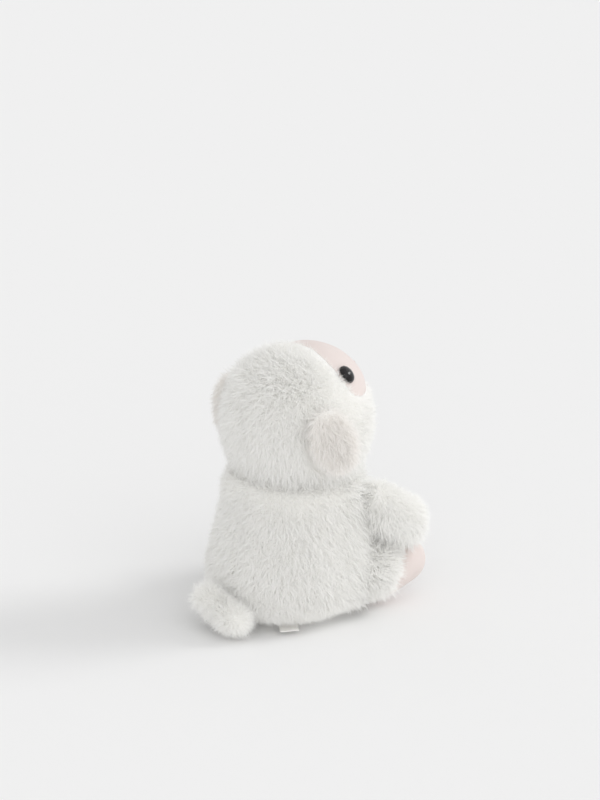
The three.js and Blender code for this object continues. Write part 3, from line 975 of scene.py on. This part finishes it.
def head_comb(point, normal):
    behind = smooth_step(18 * mm, -2 * mm, (point - head_centre).dot(face_forward))
    beside_eye = smooth_step(12 * mm, 7 * mm, from_eye(point))
    beside_face = smooth_step(1.3, 1.0, face_share(point))
    crown = crown_share(point)
    towards_face = 0.15 * beside_face * (1 - beside_eye) * (1 - crown)
    towards_face -= 0.1 * beside_eye * (1 - crown)
    return Vector((0, 0, -0.6)) * behind * (1 - 0.35 * crown) + face_forward * towards_face


set_pile(head, head_pile_length, head_comb)
cut(head, (0, 0, 0), (1, 0, 0))
head_parts = split(
    head,
    {
        "face_cloth": lambda p: face_share(p) < 1,
        "head_cloth_left": lambda p: p.x > 0,
        "head_cloth_right": lambda p: True,
    },
)
for seed, side in enumerate(sides):
    cloth = head_parts["head_cloth_" + side]
    grow_pile(cloth, "head_pile_" + side, "head", seed=10 + seed)
    sew_up(cloth, "head", "fur", "head_panel_" + side)
sew_up(head_parts["face_cloth"], "head", "velour", "face_panel")
bpy.data.objects.remove(head)

# %% [markdown]
# The limbs carry a shorter pile. Feet and ear linings are velour. One length would do for each
# limb, but a dark gap would open between arm and leg. So an arm's pile is fuller underneath, and a
# leg's is fuller on top and short beside its foot.

# %% Limb panels and pile
limb_crowding, limb_tuft = 1.4, 5 * mm


def limb_comb(point):
    """Combs a limb's pile down, and the legs' a little forward."""
    root = smooth_step(-46 * mm, -30 * mm, point.y)
    low = smooth_step(34 * mm, 28 * mm, point.z)
    return Vector((0, 0.1 * root - 0.15 * low, -0.35 + 0.2 * low))


def arm_share(point, normal):
    """An arm's pile is fuller underneath, where it fills the space above the leg."""
    root = smooth_step(-46 * mm, -34 * mm, point.y)
    return 1 + 0.8 * max(-normal.z, 0) - 0.25 * max(normal.z, 0) + 0.2 * root


def leg_share(point, normal):
    """A leg's pile is short beside the foot and underneath."""
    beside_foot = min((foot_seams[side] - point).dot(foot_back) for side in sides)
    over_seam = 0.35 + 0.65 * smooth_step(0, 6 * mm, beside_foot)
    root = smooth_step(-42 * mm, -32 * mm, point.y)
    underneath = 0.3 + 0.7 * smooth_step(-0.9, 0, normal.z)
    return over_seam * underneath * (1 + 0.55 * max(normal.z, 0) + 0.5 * root)


def finish_pod(
    name, parts, seed, hidden, comb, length=0.92, strand=None, bare=None, share=None
):
    """Parts a small form into its cloths and grows the pile of those that are fur."""
    form = forms[name]

    def length_at(point, normal):
        if hidden_in(point, hidden, 1 * mm) or (bare and bare(point)):
            return 0
        return share(point, normal) if share else 1

    set_pile(form, length_at, lambda point, normal: comb(point))
    pieces = split(form, {part: test for part, (test, *_rest) in parts.items()})
    for index, (part, (_test, slot, node)) in enumerate(parts.items()):
        if slot == "fur":
            pile = part.replace("cloth", "pile")
            grow_pile(
                pieces[part], pile, name, length, limb_crowding, seed + index, limb_tuft, strand
            )
        sew_up(pieces[part], name, slot, node)
    bpy.data.objects.remove(form)


def ear_comb(point):
    return Vector((0, 0, -0.6))


def tail_comb(point):
    return Vector((0, -0.2, -0.1))


for side, sign in sides.items():
    seed = 20 if sign > 0 else 40
    arm_parts = {"arm_cloth_" + side: (lambda p: True, "fur", "arm_skin_" + side)}
    hidden = ["torso", "head"]
    finish_pod("arm_" + side, arm_parts, seed, hidden, limb_comb, share=arm_share)

    def on_foot(point, at=foot_seams[side]):
        return (point - at).dot(foot_back) > 0

    leg_parts = {
        "foot_cloth_" + side: (on_foot, "velour", "foot_cap_" + side),
        "leg_cloth_" + side: (lambda p: True, "fur", "leg_skin_" + side),
    }
    cut(forms["leg_" + side], foot_seams[side], foot_back)
    hidden = ["torso"]
    finish_pod(
        "leg_" + side, leg_parts, seed + 5, hidden, limb_comb, bare=on_foot, share=leg_share
    )

    ear_middle = middle("ear_back_" + side, "ear_lining_" + side)

    def lining_share(point, at=ear_middle, normal=ear_normals[side], hinge=ear_hinges[side]):
        """0 in the middle of an ear's inner face, 1 on the lining's edge, and more outside it."""
        offset = point - at
        if offset.dot(normal) > -0.5 * mm:
            return 9
        across, along = offset.dot(hinge), offset.dot(normal.cross(hinge))
        return math.hypot(across / (7.6 * mm), along / (12 * mm))

    def inner_face(point, share=lining_share):
        return share(point) < 1

    ear_parts = {
        "ear_lining_cloth_" + side: (inner_face, "velour", "ear_lining_" + side),
        "ear_back_cloth_" + side: (lambda p: True, "fur", "ear_back_" + side),
    }
    onto_seam(forms["ear_" + side], lining_share)
    finish_pod(
        "ear_" + side, ear_parts, seed + 10, [], ear_comb, 0.85, ear_pile_strand, inner_face
    )
tail_parts = {"tail_cloth": (lambda p: True, "fur", "tail_skin")}
finish_pod("tail", tail_parts, 70, ["torso"], tail_comb, 1.0)

# %% [markdown]
# Inside the covers lie loose fibre and a cloth pouch of pellets. They don't show from outside, but
# a part that can be taken apart needs them. Single fibres could be grown, but nobody would see
# them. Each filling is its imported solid, rounded, and drawn in to stay inside its cover.

# %% Fillings
filling_slack = 2 * mm
fillings = {"body_stuffing": ("torso", 3 * mm), "head_stuffing": ("head", 3 * mm)}
for limb in ("arm", "leg"):
    for side in sides:
        fillings[limb + "_stuffing_" + side] = (limb + "_" + side, 1.5 * mm)
fillings["tail_stuffing"] = ("tail", 1.2 * mm)
fillings["pellet_pouch"] = ("torso", 2 * mm)
for node, (body, voxel) in fillings.items():
    name = node.replace("stuffing", "fibres").replace("pouch", "bag")
    lump = draw_in(rounded(name, node_bmesh(node), voxel, 3), lambda point: filling_slack)
    cloth, slot = ("fibre_fill", "filling") if "stuffing" in node else ("pouch_cloth",) * 2
    lump.data.materials.append(cloths[cloth])
    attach(lump, body)
    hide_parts(node)

# %% [markdown]
# Two threads close the toy by hand: a ladder of stitches at the back, and a ring of stitches that
# sews the head on. On the real toy they lie on the cloth, deep in the pile. They could be traced
# along the new covers, but their packed places are near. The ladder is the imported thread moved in
# by the pile's depth. The ring is spun from a circle and waved.

# %% Closing threads
thread_radius = 0.4 * mm


def place_piece(piece, body, node, slot):
    piece.data.materials.clear()
    piece.data.materials.append(cloths[slot])
    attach(piece, body)
    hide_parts(node)


ladder_bm = node_bmesh("closing_thread")
bmesh.ops.translate(ladder_bm, verts=ladder_bm.verts, vec=(0, -pile_depth - 0.3 * mm, -0.5 * mm))
ladder = mesh_object("closing_stitches", ladder_bm)
ladder_round = ladder.modifiers.new("round_thread", "SUBSURF")
ladder_round.levels = ladder_round.render_levels = 1
place_piece(settle(ladder), "torso", "closing_thread", "white_thread")

ring_low, ring_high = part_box("neck_thread")
ring_centre = (ring_low + ring_high) / 2
ring_radius = (ring_high.x - ring_low.x) / 2 - pile_depth - thread_radius
waves, wave_height, wave_reach = 36, 0.8 * mm, 0.3 * mm
ring_bm = bmesh.new()
upright = Matrix.Translation((ring_radius, 0, 0)) @ Matrix.Rotation(math.pi / 2, 4, "X")
made = bmesh.ops.create_circle(ring_bm, segments=8, radius=thread_radius, matrix=upright)
bmesh.ops.spin(
    ring_bm,
    geom=made["verts"] + ring_bm.edges[:],
    cent=(0, 0, 0),
    axis=(0, 0, 1),
    angle=2 * math.pi,
    steps=6 * waves,
    use_merge=True,
    use_duplicate=False,
)
bmesh.ops.remove_doubles(ring_bm, verts=ring_bm.verts, dist=merge_gap)
for vert in ring_bm.verts:
    turn = math.atan2(vert.co.y, vert.co.x)
    outwards = Vector((vert.co.x, vert.co.y, 0)).normalized()
    vert.co.z += wave_height * math.sin(waves * turn)
    vert.co += outwards * wave_reach * math.cos(waves * turn)
bmesh.ops.translate(ring_bm, verts=ring_bm.verts, vec=ring_centre)
bmesh.ops.recalc_face_normals(ring_bm, faces=ring_bm.faces)
place_piece(mesh_object("neck_stitches", ring_bm), "neck", "neck_thread", "white_thread")

# %% [markdown]
# The small blank label is a ribbon folded in two and caught in the seat seam. A thin block would
# do from afar. Here one edge is extruded out, spun half round the fold and extruded back in.

# %% Label
label_low, label_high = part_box("blank_label")
label_heading = math.radians(142)
label_out = Vector((math.cos(label_heading), math.sin(label_heading), 0))
label_along = Vector((0, 0, 1)).cross(label_out)
label_width, label_reach, fold_radius = 9 * mm, 7.5 * mm, 0.32 * mm
tip = (label_low + label_high) / 2
label_bm = bmesh.new()
start = tip - label_out * label_reach - Vector((0, 0, fold_radius))
ends = [label_bm.verts.new(start + label_along * label_width * share) for share in (-0.5, 0.5)]
row = [label_bm.edges.new(ends)]
bmesh.ops.subdivide_edges(label_bm, edges=row, cuts=9)
row = label_bm.edges[:]


def pull(edges, move):
    made = bmesh.ops.extrude_edge_only(label_bm, edges=edges)["geom"]
    moved_on = [g for g in made if isinstance(g, bmesh.types.BMVert)]
    bmesh.ops.translate(label_bm, verts=moved_on, vec=move)
    return [g for g in made if isinstance(g, bmesh.types.BMEdge)]


steps = 6
for _step in range(steps):
    row = pull(row, label_out * label_reach / steps)
turned = bmesh.ops.spin(
    label_bm,
    geom=row + list({v for e in row for v in e.verts}),
    cent=tip,
    axis=label_along,
    angle=-math.pi,
    steps=8,
    use_merge=False,
    use_duplicate=False,
)
row = [g for g in turned["geom_last"] if isinstance(g, bmesh.types.BMEdge)]
for _step in range(steps):
    row = pull(row, -label_out * label_reach / steps)
for vert in label_bm.verts:
    droop = smooth_step(-label_reach, 0, (vert.co - tip).dot(label_out))
    wave = math.sin((vert.co - tip).dot(label_along) / label_width * 5)
    vert.co.z += (0.25 * wave * droop) * mm
bmesh.ops.remove_doubles(label_bm, verts=label_bm.verts, dist=merge_gap)
bmesh.ops.recalc_face_normals(label_bm, faces=label_bm.faces)
label = mesh_object("label_ribbon_loop", label_bm)
ribbon_wall = label.modifiers.new("ribbon_thickness", "SOLIDIFY")
ribbon_wall.thickness = 0.2 * mm
place_piece(settle(label), "torso", "blank_label", "label_ribbon")
heights = [vert.co.z / mm for vert in label.data.vertices]
print(f"label from {min(heights):.2f} to {max(heights):.2f} mm above the floor")

# %% [markdown]
# Eyes, washers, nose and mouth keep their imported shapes. They could be modelled again, but the
# eyes and washers are hard moulded pieces that are true already, and the nose and mouth are flat
# satin stitches. The eyes are polished black plastic, the washers a matt one.

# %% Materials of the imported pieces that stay
eye_plastic = bpy.data.materials.new("eye_plastic")
eye_plastic.use_nodes = True
eye_surface = eye_plastic.node_tree.nodes["Principled BSDF"]
eye_surface.inputs["Base Color"].default_value = (0.008, 0.007, 0.008, 1)
eye_surface.inputs["Roughness"].default_value = 0.03
eye_surface.inputs["Specular IOR Level"].default_value = 0.35
washer_plastic = cloth_material(
    "washer_plastic", (0.84, 0.84, 0.82), (0.78, 0.78, 0.76), nap_scale=700, nap_height=0.05 * mm
)


def repaint(node, material):
    packed = frame["nodes"][node]
    if not packed.material_slots:
        packed.data.materials.append(material)
    for slot in packed.material_slots:
        slot.link = "OBJECT"
        slot.material = material


for side in sides:
    repaint("eye_" + side, eye_plastic)
    repaint("eye_washer_" + side, washer_plastic)
repaint("nose_stitching", cloths["pink_thread"])
repaint("mouth_stitching", cloths["pink_thread"])

# %% [markdown]
# The two strands were only sources for the scatter, so they go. The triangles of each pile piece, and
# their sum, are printed.

# %% Removing the strand sources
bpy.data.objects.remove(long_strand)
bpy.data.objects.remove(ear_pile_strand)
print("pile triangles:", pile_triangles, "in all", sum(pile_triangles.values()))
